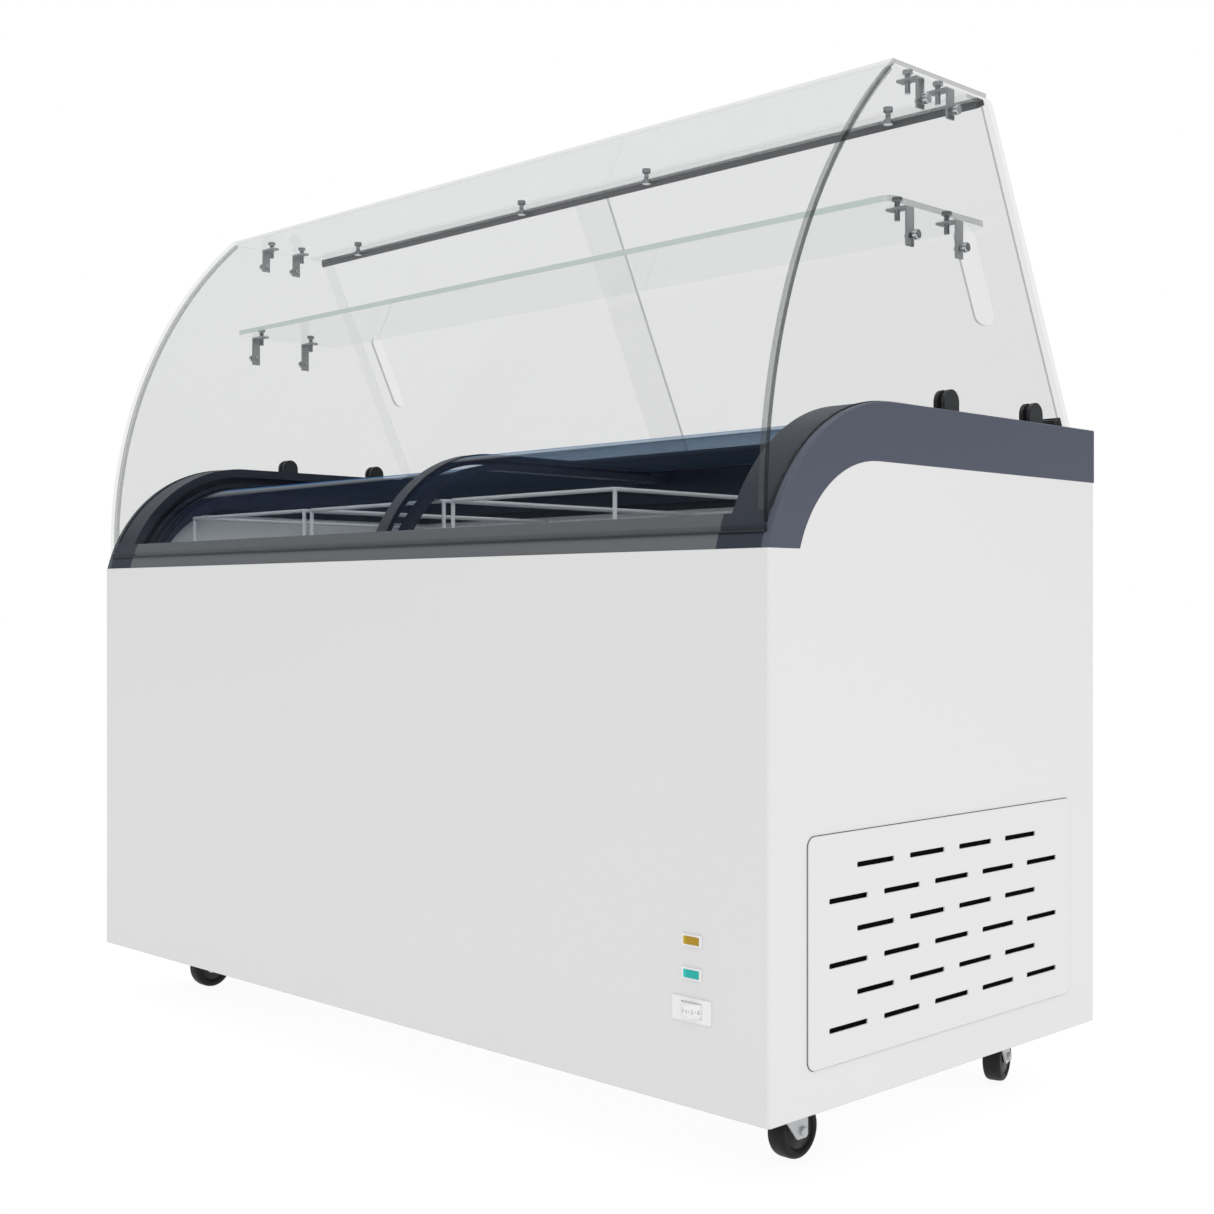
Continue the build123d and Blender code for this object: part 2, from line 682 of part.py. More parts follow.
def door_frame_plane():
    """Local axes of the sloping rear: x along the cabinet, y out to the rear, z up the doors."""
    up = Vector(0, DOOR_HEAD_Y - DOOR_FOOT_Y, DOOR_HEAD_Z - RIM_TOP).normalized()
    return Plane(origin=(0, DOOR_FOOT_Y, RIM_TOP), x_dir=(1, 0, 0), z_dir=up)


def track(z0, z1, groove):
    """A double-grooved bar across the canopy, in the doors' own axes."""
    bar = block((-CANOPY_X + GLASS, CANOPY_X - GLASS), about(0, TRACK_W), (z0, z1))
    half = DOOR_GLASS / 2 + 0.4
    for side in (-1, 1):
        y = side * DOOR_GAP
        bar = bar - block((-DOOR_END - 1, DOOR_END + 1), (y - half, y + half), groove)
    return door_frame_plane() * bar


def lower_door_track():
    bar = track(-8, 12, (3, 20))
    return bar & block((-800, 800), (200, 400), (RIM_TOP, RIM_TOP + 60))


def upper_door_track():
    bar = track(446.5, 462, (440, DOOR_HIGH + 2))
    return bar & block((-800, 800), (HANGER_Y[1], 200), (1200, CANOPY_TOP - GLASS))


def track_hanger():
    """A clear strip under the top glass that the upper track is bonded to."""
    high = CANOPY_TOP - GLASS
    sheet = block((-CANOPY_X + GLASS, CANOPY_X - GLASS), HANGER_Y, (high - 5, high))
    return pin_holes(sheet, [(x, STUD_Y) for x in STUD_X], 3.5, CANOPY_TOP - 20, CANOPY_TOP)


def hanger_studs():
    studs = []
    for x in STUD_X:
        low = CANOPY_TOP - GLASS - 5
        stud = cylinder_z(x, STUD_Y, 3.5, low, CANOPY_TOP)
        studs.append(stud + cylinder_z(x, STUD_Y, 6.5, CANOPY_TOP, CANOPY_TOP + 6)
                     + cylinder_z(x, STUD_Y, 6.5, low - 6, low))
    return studs


def rear_door(side):
    """A glass door with a finger slot near its outer end. side is -1 for the left, 1 for the right."""
    x = sorted((side * DOOR_END, -side * DOOR_LAP))
    y = side * DOOR_GAP
    sheet = block(x, (y - DOOR_GLASS / 2, y + DOOR_GLASS / 2), (3.5, DOOR_HIGH))
    slot_x = side * 650
    low = 172
    high = 282
    hole = block((slot_x - 16.5, slot_x + 16.5), (y - 5, y + 5), (low, high))
    ends = [Pos(slot_x, y, z) * Rot(90, 0, 0) * Cylinder(16.5, 10) for z in (low, high)]
    return door_frame_plane() * (sheet - hole - ends)


# ---- castors ----

def castor_place(name):
    side, end, turn = CASTORS[name]
    return Pos(side * CASTOR_X, end * CASTOR_Y, 0) * Rot(0, 0, turn)


def castor_plates():
    """A square top plate with a kingpin riveted under it, one for each castor."""
    plates = []
    for name in CASTORS:
        side, end, _ = CASTORS[name]
        plate = fillet(Box(64, 64, 3).edges().filter_by(Axis.Z), 6)
        pin = cylinder_z(0, 0, KINGPIN_R, 76, BODY_Z - 3) + cylinder_z(0, 0, 10, 73.5, 76)
        made = Pos(0, 0, BODY_Z - 1.5) * plate + pin
        plates.append(Pos(side * CASTOR_X, end * CASTOR_Y, 0) * made)
    return plates


def castor_fork(name):
    """A pressed fork: a top washer plate and two tapered legs, with the wheel's trail towards +Y."""
    tip = WHEEL_R - 9
    outline = make_face(Polyline((-24, 80), (40, 80), (TRAIL + 10, tip), (TRAIL - 10, tip), close=True))
    outline = fillet(outline.vertices().sort_by(Axis.Y)[:2], 5)
    outline = outline - Pos(TRAIL, WHEEL_R) * Circle(AXLE_R)
    inner = WHEEL_W / 2 + 1
    leg = prism(outline, inner, inner + 2.5)
    top = block((-inner - 2.5, inner + 2.5), (-24, 40), (77.5, 80)) + cylinder_z(0, 0, 24, 77.5, 80)
    fork = leg + mirror(leg, about=Plane.YZ) + top - cylinder_z(0, 0, KINGPIN_R + RUNNING, 70, 90)
    return castor_place(name) * fork


def castor_axle(name):
    reach = WHEEL_W / 2 + 3.5
    axle = cylinder_x(TRAIL, WHEEL_R, AXLE_R, -reach, reach)
    head = cylinder_x(TRAIL, WHEEL_R, 5.5, reach, reach + 4)
    head = fillet(head.edges().sort_by(Axis.X)[-1], 1.5)
    return castor_place(name) * (axle + head + mirror(head, about=Plane.YZ))


def castor_wheel(name):
    """A solid wheel with rounded tread corners, a shallow recessed side and a raised hub."""
    half = WHEEL_W / 2
    wheel = cylinder_x(TRAIL, WHEEL_R, WHEEL_R, -half, half)
    wheel = fillet(wheel.edges(), 4)
    dish = Circle(WHEEL_R - 8) - Circle(10)
    cut = prism(Pos(TRAIL, WHEEL_R) * dish, half - 0.6, half)
    wheel = wheel - cut - mirror(cut, about=Plane.YZ)
    return castor_place(name) * (wheel - cylinder_x(TRAIL, WHEEL_R, AXLE_R + RUNNING, -half, half))


# ---- assembly ----

def build_nodes():
    coil = evaporator_coil()
    cap = rim_cap()
    front = front_glass()
    pane = side_pane()
    nodes = {
        "outer_casing": outer_casing(),
        "base_pan": base_pan(),
        "foam_insulation": foam_insulation(coil),
        "inner_liner": inner_liner(),
        "evaporator_coil": coil,
        "opening_collar": opening_collar(),
        "rim_cap_right": cap,
        "rim_cap_left": mirror(cap, about=Plane.YZ),
        "front_fascia": front_fascia(),
        "rear_top_cover": rear_top_cover(),
        "service_grille": service_grille(),
        "grille_clips": grille_clips(),
        "lamp_bezels": lamp_bezels(),
        "amber_lamp_lens": lens(AMBER_Z),
        "green_lamp_lens": lens(GREEN_Z),
        "thermostat_plate": thermostat_plate(),
        "thermostat_thumbwheel": thermostat_thumbwheel(),
        "compressor": compressor(),
        "condenser": condenser(),
        "condenser_fan_shroud": fan_shroud(),
        "condenser_fan_blades": fan_blades(),
        "basket_left": basket(*basket_span(0)),
        "basket_centre": basket(*basket_span(1)),
        "basket_right": basket(*basket_span(2)),
        "basket_rails": basket_rails(),
        "lid_glass_left": lid_glass(INNER_LID_R, *LEFT_LID_X),
        "lid_frame_left": lid_frame(INNER_LID_R, *LEFT_LID_X),
        "lid_glass_right": lid_glass(OUTER_LID_R, *RIGHT_LID_X),
        "lid_frame_right": lid_frame(OUTER_LID_R, *RIGHT_LID_X),
        "front_glass": front,
        "top_glass": top_glass(front),
        "side_pane_right": pane,
        "side_pane_left": mirror(pane, about=Plane.YZ),
        "shelf_glass": shelf_glass(),
        "shelf_brackets": shelf_brackets(),
        "top_brackets": top_brackets(),
        "bracket_pins": bracket_pins(),
        "bracket_bolts": bracket_bolts(),
        "canopy_clips": canopy_clips(),
        "canopy_seals": canopy_seals(),
        "lower_door_track": lower_door_track(),
        "upper_door_track": upper_door_track(),
        "track_hanger": track_hanger(),
        "hanger_studs": hanger_studs(),
        "rear_door_left": rear_door(-1),
        "rear_door_right": rear_door(1),
        "castor_plates": castor_plates(),
    }
    for name in CASTORS:
        nodes["castor_fork_" + name] = castor_fork(name)
        nodes["castor_axle_" + name] = castor_axle(name)
        nodes["castor_wheel_" + name] = castor_wheel(name)
    return nodes


def save(node, shape):
    pieces = shape if isinstance(shape, list) else [shape]
    solids = [solid for piece in pieces for solid in piece.solids()]
    whole = solids[0] if len(solids) == 1 else Compound(children=solids)
    export_step(whole, "parts/" + node + ".step")


os.makedirs("parts", exist_ok=True)
for node, shape in build_nodes().items():
    save(node, shape)
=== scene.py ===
"""Looks for the ice cream dipping cabinet: materials for every CAD node, and the wire baskets, castor
tyres, dial numbers, seals and other small pieces that go around them. Metres, in the CAD frame."""
import bpy
import bmesh
import json
import math
from mathutils import Matrix, Vector

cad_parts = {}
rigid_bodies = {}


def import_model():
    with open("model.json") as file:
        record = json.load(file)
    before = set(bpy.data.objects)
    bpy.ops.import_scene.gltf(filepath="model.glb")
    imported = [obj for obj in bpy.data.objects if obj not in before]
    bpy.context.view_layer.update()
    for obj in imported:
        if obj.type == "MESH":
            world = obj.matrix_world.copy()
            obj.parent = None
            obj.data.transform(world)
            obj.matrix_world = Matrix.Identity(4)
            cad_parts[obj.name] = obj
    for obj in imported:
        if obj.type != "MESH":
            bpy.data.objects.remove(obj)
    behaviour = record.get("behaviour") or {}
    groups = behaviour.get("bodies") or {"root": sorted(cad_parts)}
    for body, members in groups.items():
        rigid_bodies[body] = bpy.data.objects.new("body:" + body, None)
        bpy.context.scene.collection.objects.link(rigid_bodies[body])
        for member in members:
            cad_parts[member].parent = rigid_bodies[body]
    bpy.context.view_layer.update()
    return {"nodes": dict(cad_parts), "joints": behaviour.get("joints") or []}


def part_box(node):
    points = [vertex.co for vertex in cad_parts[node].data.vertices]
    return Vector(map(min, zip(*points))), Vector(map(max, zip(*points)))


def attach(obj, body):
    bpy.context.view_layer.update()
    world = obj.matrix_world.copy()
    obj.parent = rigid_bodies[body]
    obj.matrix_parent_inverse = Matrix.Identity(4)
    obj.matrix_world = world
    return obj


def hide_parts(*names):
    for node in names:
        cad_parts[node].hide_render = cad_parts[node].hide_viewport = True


for thing in list(bpy.data.objects):
    bpy.data.objects.remove(thing)

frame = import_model()

MM = 0.001
NODES = frame["nodes"]
BASKET_RAIL = 55 * MM           # from the top rim down to the rim where the close wires start
CORE_RADIUS = 24 * MM           # where a castor's tyre meets its core
PAINTED_SHADE_INNER_X = 726.5 * MM        # mouldings nearer the middle than this get painted shade: a darker navy for the shadow of the glass
PAINTED_SHADE_OUTER_X = 728.0 * MM        # and beyond this the lit navy, with no painted shade

# Axes of the curved sheets, as (y, z) of a line along X.
BOW_AXIS = (0.4125, 0.769)
BOW_RADIUS = 763 * MM
CREST_AXIS = (-0.119, 0.668)


# ---- material tools ----

class Shader:
    """One node tree, of a new material or of a given world. add() makes a node, fills its inputs and
    returns one of its outputs."""

    def __init__(self, name="", owner=None):
        self.owner = owner or bpy.data.materials.new(name)
        self.owner.use_nodes = True
        self.tree = self.owner.node_tree
        self.tree.nodes.clear()

    def add(self, kind, inputs=None, output=0, **settings):
        node = self.tree.nodes.new("ShaderNode" + kind)
        for key, value in settings.items():
            setattr(node, key, value)
        for key, value in (inputs or {}).items():
            if isinstance(value, bpy.types.NodeSocket):
                self.tree.links.new(value, node.inputs[key])
            else:
                node.inputs[key].default_value = value
        return node.outputs[output]

    def math(self, operation, *values):
        return self.add("Math", dict(enumerate(values)), operation=operation)

    def vector_math(self, operation, *values, output=0):
        return self.add("VectorMath", dict(enumerate(values)), output, operation=operation)

    def mix(self, factor, a, b):
        """Mixes two colours."""
        return self.add("Mix", {0: factor, 6: a, 7: b}, 2, data_type="RGBA")

    def mix_shader(self, factor, a, b):
        return self.add("MixShader", {0: factor, 1: a, 2: b})

    def place(self):
        return self.add("TexCoord", output="Object")

    def noise(self, scale, detail=2.0, stretch=None, roughness=0.5):
        """Noise between 0 and 1. stretch scales it apart along X, Y and Z."""
        where = self.place()
        if stretch:
            where = self.vector_math("MULTIPLY", where, stretch)
        return self.add("TexNoise", {"Vector": where, "Scale": scale, "Detail": detail,
                                     "Roughness": roughness})

    def remap(self, value, low, high):
        """Takes 0..1 to low..high."""
        return self.add("MapRange", {0: value, 3: low, 4: high})

    def ramp(self, factor, stops):
        node = self.tree.nodes.new("ShaderNodeValToRGB")
        self.tree.links.new(factor, node.inputs[0])
        ladder = node.color_ramp.elements
        while len(ladder) < len(stops):
            ladder.new(0.5)
        for step, (at, colour) in zip(ladder, stops):
            step.position = at
            step.color = (*colour, 1)
        return node.outputs[0]

    def bump(self, height, depth, normal=None):
        """Depth is in metres."""
        inputs = {"Height": height, "Distance": depth, "Strength": 1.0}
        if normal:
            inputs["Normal"] = normal
        return self.add("Bump", inputs)

    def soft_edge(self, radius):
        return self.add("Bevel", {"Radius": radius}, samples=4)

    def finish(self, surface, kind="OutputMaterial"):
        out = self.tree.nodes.new("ShaderNode" + kind)
        self.tree.links.new(surface, out.inputs["Surface"])
        return self.owner


def rgba(colour, gain=1.0):
    return (*(min(1.0, c * gain) for c in colour), 1.0)


def coated(name, colour, roughness, grain=(400.0, 0.00002), vary=0.05, edge=0.0006, metallic=0.0,
           coat=0.0, specular=0.5, stretch=None):
    """Paint, plastic or metal with slow colour variation, a fine grain and softened edges."""
    s = Shader(name)
    slow = s.noise(2.5, 3.0)
    fine = s.noise(grain[0], 3.0, stretch)
    tint = s.mix(slow, rgba(colour, 1 - vary), rgba(colour, 1 + vary))
    tint = s.mix(s.remap(fine, 0.0, 0.25), tint, rgba(colour, 0.8))
    rough = s.remap(fine, roughness * 0.8, roughness * 1.2)
    normal = s.bump(fine, grain[1], s.soft_edge(edge))
    return s.finish(s.add("BsdfPrincipled", {
        "Base Color": tint, "Roughness": rough, "Metallic": metallic, "Normal": normal,
        "Coat Weight": coat, "Coat Roughness": 0.12, "Specular IOR Level": specular}))


# ---- materials ----

def white_paint():
    """Powder-coated sheet: a faint orange peel and a trace of dust towards the floor."""
    s = Shader("white_paint")
    peel = s.noise(190.0, 2.0)
    slow = s.noise(1.7, 2.0)
    height = s.add("SeparateXYZ", {0: s.place()}, output=2)
    low = s.add("MapRange", {0: height, 1: 0.085, 2: 0.20, 3: 0.5, 4: 0.0})
    dust = s.math("MULTIPLY", low, s.noise(35.0, 5.0, roughness=0.7))
    white = s.mix(slow, (0.700, 0.697, 0.698, 1), (0.712, 0.709, 0.710, 1))
    white = s.mix(s.math("MULTIPLY", dust, 0.35), white, (0.62, 0.60, 0.57, 1))
    normal = s.bump(peel, 0.000012, s.soft_edge(0.0012))
    return s.finish(s.add("BsdfPrincipled", {
        "Base Color": white, "Roughness": s.remap(peel, 0.34, 0.46), "Normal": normal,
        "Specular IOR Level": 0.3}))


def galvanised():
    """Zinc-dipped steel with its crystal pattern."""
    s = Shader("galvanised")
    cells = s.add("TexVoronoi", {"Vector": s.place(), "Scale": 90.0}, output=1)
    shade = s.add("SeparateColor", {0: cells}, output=0)
    grey = s.mix(shade, (0.42, 0.44, 0.46, 1), (0.62, 0.64, 0.66, 1))
    return s.finish(s.add("BsdfPrincipled", {
        "Base Color": grey, "Metallic": 0.9, "Roughness": s.remap(shade, 0.35, 0.55),
        "Normal": s.soft_edge(0.0005)}))


def foam():
    s = Shader("foam")
    cells = s.noise(300.0, 4.0)
    return s.finish(s.add("BsdfPrincipled", {
        "Base Color": s.mix(cells, (0.62, 0.50, 0.26, 1), (0.78, 0.66, 0.40, 1)),
        "Roughness": 0.9, "Normal": s.bump(cells, 0.0004)}))


def liner():
    """Embossed white-coated aluminium: close rounded dimples."""
    s = Shader("liner")
    cells = s.add("TexVoronoi", {"Vector": s.place(), "Scale": 150.0, "Smoothness": 0.4},
                  feature="SMOOTH_F1")
    slow = s.noise(4.0, 3.0)
    white = s.mix(slow, (0.80, 0.81, 0.82, 1), (0.86, 0.865, 0.87, 1))
    return s.finish(s.add("BsdfPrincipled", {
        "Base Color": white, "Roughness": 0.33, "Metallic": 0.15, "Normal": s.bump(cells, 0.0004)}))


def wire_coating():
    """White dipped plastic on steel wire, a little uneven."""
    s = Shader("white_wire")
    flow = s.noise(60.0, 3.0)
    white = s.mix(flow, (0.66, 0.675, 0.69, 1), (0.80, 0.81, 0.82, 1))
    return s.finish(s.add("BsdfPrincipled", {
        "Base Color": white, "Roughness": s.remap(flow, 0.22, 0.4), "Coat Weight": 0.4,
        "Normal": s.bump(flow, 0.0003)}))


def brushed(name, colour, roughness, along, polish=0.9):
    """Steel with fine scratches that run along one axis."""
    s = Shader(name)
    stretch = tuple(30.0 if n == along else 900.0 for n in range(3))
    lines = s.noise(1.0, 4.0, stretch)
    stains = s.noise(45.0, 3.0)
    tint = s.mix(lines, rgba(colour, 0.78), rgba(colour, 1.18))
    tint = s.mix(s.remap(stains, 0.0, 0.3), tint, rgba(colour, 0.7))
    return s.finish(s.add("BsdfPrincipled", {
        "Base Color": tint, "Metallic": polish, "Roughness": s.remap(lines, roughness * 0.7, roughness * 1.3),
        "Normal": s.bump(lines, 0.00003, s.soft_edge(0.0004))}))


def navy_plastic():
    """Satin moulded plastic. The mouldings inside the glass get painted shade, a darker navy than the outer
    faces, for the shadow the glass casts on them.
    """
    s = Shader("navy_plastic")
    grain = s.noise(900.0, 3.0)
    across = s.math("ABSOLUTE", s.add("SeparateXYZ", {0: s.place()}, output=0))
    unshaded = s.add("MapRange", {0: across, 1: PAINTED_SHADE_INNER_X, 2: PAINTED_SHADE_OUTER_X, 3: 0.0, 4: 1.0})
    light = s.mix(s.noise(2.5, 3.0), (0.067, 0.077, 0.108, 1), (0.073, 0.083, 0.116, 1))
    # painted shade: the dark navy inside the glass, blending to the lit navy outside it
    tint = s.mix(unshaded, (0.016, 0.021, 0.038, 1), light)
    return s.finish(s.add("BsdfPrincipled", {
        "Base Color": tint, "Roughness": s.remap(grain, 0.32, 0.46), "Coat Weight": 0.15,
        "Coat Roughness": 0.12, "Specular IOR Level": 0.4,
        "Normal": s.bump(grain, 0.00002, s.soft_edge(0.0006))}))


def lamp_lens(name, deep, bright):
    """Tinted translucent lens with moulded ribs behind a smooth face. Its left part is painted lighter: a
    painted highlight on the lit left facet.
    """
    s = Shader(name)
    ribs = s.add("TexWave", {"Vector": s.place(), "Scale": 260.0, "Distortion": 0.0}, output=1,
                 bands_direction="X")
    across = s.add("SeparateXYZ", {0: s.place()}, output=0)
    lo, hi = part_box(name)
    # painted highlight: the left part of the lens is lighter, as where its left facet catches the light
    left = s.add("MapRange", {0: across, 1: lo.x, 2: lo.x + 0.35 * (hi.x - lo.x), 3: 0.8, 4: 0.0})
    tint = s.mix(s.math("MAXIMUM", s.math("MULTIPLY", ribs, 0.35), left), rgba(deep), rgba(bright))
    return s.finish(s.add("BsdfPrincipled", {
        "Base Color": tint, "Roughness": 0.3, "Coat Weight": 0.15, "Specular IOR Level": 0.2,
        "Emission Color": tint, "Emission Strength": 0.12, "Normal": s.bump(ribs, 0.00008)}))


def tyre_rubber():
    s = Shader("tyre_rubber")
    scuff = s.noise(120.0, 5.0, roughness=0.7)
    dust = s.noise(18.0, 4.0)
    black = s.mix(s.remap(dust, 0.0, 0.6), (0.004, 0.004, 0.005, 1), (0.010, 0.010, 0.011, 1))
    return s.finish(s.add("BsdfPrincipled", {
        "Base Color": black, "Roughness": s.remap(scuff, 0.45, 0.65), "Specular IOR Level": 0.25,
        "Normal": s.bump(scuff, 0.00008)}))


# ---- glass ----

FIRST_PASS = (0.898, 0.900, 0.899, 1)   # each surface of the pane nearest the viewer
LATER_PASS = (0.972, 0.974, 0.973, 1)   # each surface of the panes behind it
SHADE_PASS = (0.990, 0.990, 0.990, 1)   # each surface, for the light that falls on what is inside
LID_PASS = (0.875, 0.89, 0.90, 1)       # each surface of the tinted lids
LID_GRAZE = (0.66, 0.77, 0.88, 1)       # the same where the view skims along the glass
EDGE_PASS = (0.60, 0.61, 0.605, 1)      # looking into a cut end
FACE_LIMIT = 0.92                       # how squarely a point must face across the sheet, or it is an edge
LID_SHINE = 0.9                         # share of the reflection that is kept; on the lids this is the painted reflection
PANE_SHINE = 0.30                       # the same for the clear panes
LID_GLOW = 1.4                          # strength of the lids' painted reflection, an emitted glow
RIM_PALENESS = {"pale": 0.85, "clear": 0.12, "dark": 0.05}      # how solid each kind of edge looks


def face_direction(s, kind, lean=(0, 0, 1)):
    """The direction across a sheet's thickness at the shaded point."""
    if kind == "flat":
        return lean
    axis = BOW_AXIS if kind == "bow" else CREST_AXIS
    y, z = (s.add("SeparateXYZ", {0: s.place()}, output=n) for n in (1, 2))
    dy = s.math("SUBTRACT", y, axis[0])
    if kind == "crest":
        dy = s.math("MINIMUM", dy, 0.0)
    dz = s.math("SUBTRACT", z, axis[1])
    return s.vector_math("NORMALIZE", s.add("CombineXYZ", {1: dy, 2: dz}))


def lid_reflection(s):
    """A painted reflection for the polished lids, an emitted colour by the height of the mirrored direction:
    dark at the crest line, a blue band, a grey band, then dark streaks."""
    height = s.add("SeparateXYZ", {0: s.add("TexCoord", output="Reflection")}, output=2)
    streak = s.remap(s.noise(1.0, 3.0, (1.2, 9.0, 30.0)), -0.04, 0.04)
    return s.ramp(s.math("ADD", height, streak), [
        (0.0, (0.01, 0.015, 0.02)), (0.05, (0.015, 0.05, 0.11)), (0.12, (0.03, 0.10, 0.22)),
        (0.20, (0.06, 0.16, 0.34)), (0.24, (0.30, 0.33, 0.36)), (0.33, (0.22, 0.24, 0.27)),
        (0.38, (0.015, 0.02, 0.04)), (0.60, (0.04, 0.055, 0.10)), (0.75, (0.01, 0.015, 0.03))])


def sheet_glass(name, kind, lean=(0, 0, 1), lid=False, rim="clear"):
    """Thin sheet glass: clear and reflective on its two faces. rim says how its polished edges look:
    pale green, clear or dark. Cut ends that face along X are always dark."""
    s = Shader(name)
    normal = s.add("NewGeometry", output="Normal")
    backface = s.add("NewGeometry", output="Backfacing")
    facing = s.math("ABSOLUTE", s.vector_math("DOT_PRODUCT", normal, face_direction(s, kind, lean),
                                              output="Value"))
    is_edge = s.math("LESS_THAN", facing, FACE_LIMIT)
    depth = s.add("LightPath", output="Transparent Depth")
    nearest = s.math("LESS_THAN", depth, 1.5)
    shade = s.math("MAXIMUM", s.add("LightPath", output="Is Shadow Ray"),
                   s.add("LightPath", output="Is Diffuse Ray"))
    if lid:
        skim = s.math("POWER", s.add("LayerWeight", {"Blend": 0.5}, output="Facing"), 4.0)
        through = s.mix(skim, LID_PASS, LID_GRAZE)
    else:
        through = s.mix(nearest, LATER_PASS, FIRST_PASS)
    through = s.mix(shade, through, SHADE_PASS)
    clear = s.add("BsdfTransparent", {"Color": through})
    smear = s.noise(7.0, 4.0, (1, 1, 0.4))
    gleam = s.mix(smear, (0.86, 0.90, 0.92, 1), (0.94, 0.96, 0.98, 1))
    shine = s.add("BsdfAnisotropic", {"Color": gleam, "Roughness": 0.01})
    fresnel = s.add("Fresnel", {"IOR": 1.52})
    fresnel = s.math("MULTIPLY", fresnel, s.math("SUBTRACT", 1.0, backface))
    fresnel = s.math("MULTIPLY", fresnel, LID_SHINE if lid else PANE_SHINE)
    fresnel = s.math("MULTIPLY", fresnel, s.math("SUBTRACT", 1.0, shade))
    if lid:
        # painted reflection: the lids glow with this ramp in place of mirroring what is round them
        shine = s.add("Emission", {"Color": lid_reflection(s), "Strength": LID_GLOW})
    face = s.mix_shader(fresnel, clear, shine)
    sideways = s.math("ABSOLUTE", s.add("SeparateXYZ", {0: normal}, output=0))
    darkness = 1.0 if rim == "dark" else s.math("MINIMUM", s.math("MULTIPLY", sideways, 1.2), 1.0)
    dark = s.add("BsdfTransparent", {"Color": s.mix(backface, EDGE_PASS, (0.97, 0.97, 0.97, 1))})
    solid = s.add("BsdfPrincipled", {"Base Color": (0.60, 0.70, 0.65, 1), "Roughness": 0.25})
    front = s.math("SUBTRACT", 1.0, backface)
    pale = s.math("MULTIPLY", front, RIM_PALENESS[rim])
    pale = s.math("MULTIPLY", pale, s.math("SUBTRACT", 1.0, s.math("MULTIPLY", darkness, 0.95)))
    edge = s.mix_shader(pale, s.mix_shader(darkness, clear, dark), solid)
    return s.finish(s.mix_shader(is_edge, face, edge))


# ---- mesh tools ----

class Shape:
    """Vertices and faces gathered into one piece."""

    def __init__(self):
        self.verts = []
        self.faces = []

    def add(self, verts, faces):
        first = len(self.verts)
        self.verts += [tuple(v) for v in verts]
        self.faces += [tuple(first + n for n in face) for face in faces]

    def rings(self, rings, around=True, along=False):
        """Joins equal rings of points. around closes each ring, along joins the last ring to the first."""
        count = len(rings[0])
        total = len(rings)
        faces = []
        for i in range(total if along else total - 1):
            for k in range(count if around else count - 1):
                n = (k + 1) % count
                j = (i + 1) % total
                faces.append((i * count + k, i * count + n, j * count + n, j * count + k))
        if not along:
            faces.append(tuple(reversed(range(count))))
            faces.append(tuple(range((total - 1) * count, total * count)))
        self.add([p for ring in rings for p in ring], faces)

    def wire(self, path, radius, closed=False, sides=8):
        """A round wire along a path."""
        path = [Vector(p) for p in path]
        side = None
        rings = []
        for i, point in enumerate(path):
            before = path[i - 1] if i or closed else point
            after = path[(i + 1) % len(path)] if i + 1 < len(path) or closed else point
            along = (after - before).normalized()
            side = along.orthogonal() if side is None else side
            side = (side - along * side.dot(along)).normalized()
            up = along.cross(side)
            turns = [math.tau * k / sides for k in range(sides)]
            rings.append([point + radius * (math.cos(t) * side + math.sin(t) * up) for t in turns])
        self.rings(rings, along=closed)

    def lathe(self, centre, axis, profile, steps=56):
        """Turns a closed profile of (distance along the axis, radius) about the axis."""
        axis = Vector(axis).normalized()
        side = axis.orthogonal().normalized()
        rings = []
        for k in range(steps):
            out = Matrix.Rotation(math.tau * k / steps, 3, axis) @ side
            rings.append([Vector(centre) + axis * a + out * r for a, r in profile])
        self.rings(rings, along=True)

    def prism(self, outline, lift):
        """A closed outline of points pushed along a vector."""
        self.rings([[Vector(p) for p in outline], [Vector(p) + Vector(lift) for p in outline]])

    def make(self, name, material, body, soften=0.0, smooth=True):
        mesh = bpy.data.meshes.new(name)
        mesh.from_pydata(self.verts, [], self.faces)
        work = bmesh.new()
        work.from_mesh(mesh)
        bmesh.ops.recalc_face_normals(work, faces=work.faces)
        work.to_mesh(mesh)
        work.free()
        mesh.materials.append(material)
        piece = bpy.data.objects.new(name, mesh)
        bpy.context.scene.collection.objects.link(piece)
        for polygon in mesh.polygons:
            polygon.use_smooth = smooth
        if soften:
            bevel = piece.modifiers.new("soften", "BEVEL")
            bevel.width = soften
            bevel.segments = 2
            bevel.limit_method = "ANGLE"
            bevel.harden_normals = True
        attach(piece, body)
        return piece


def rounded_loop(low, high, radius, steps=6):
    """Points (a, b) round a rectangle with rounded corners."""
    points = []
    corners = ((high[0], high[1], 0), (low[0], high[1], 90), (low[0], low[1], 180), (high[0], low[1], 270))
    for a, b, start in corners:
        a -= radius if start in (0, 270) else -radius
        b -= radius if start in (0, 90) else -radius
        for k in range(steps + 1):
            turn = math.radians(start + 90 * k / steps)
            points.append((a + radius * math.cos(turn), b + radius * math.sin(turn)))
    return points


# ---- pieces ----

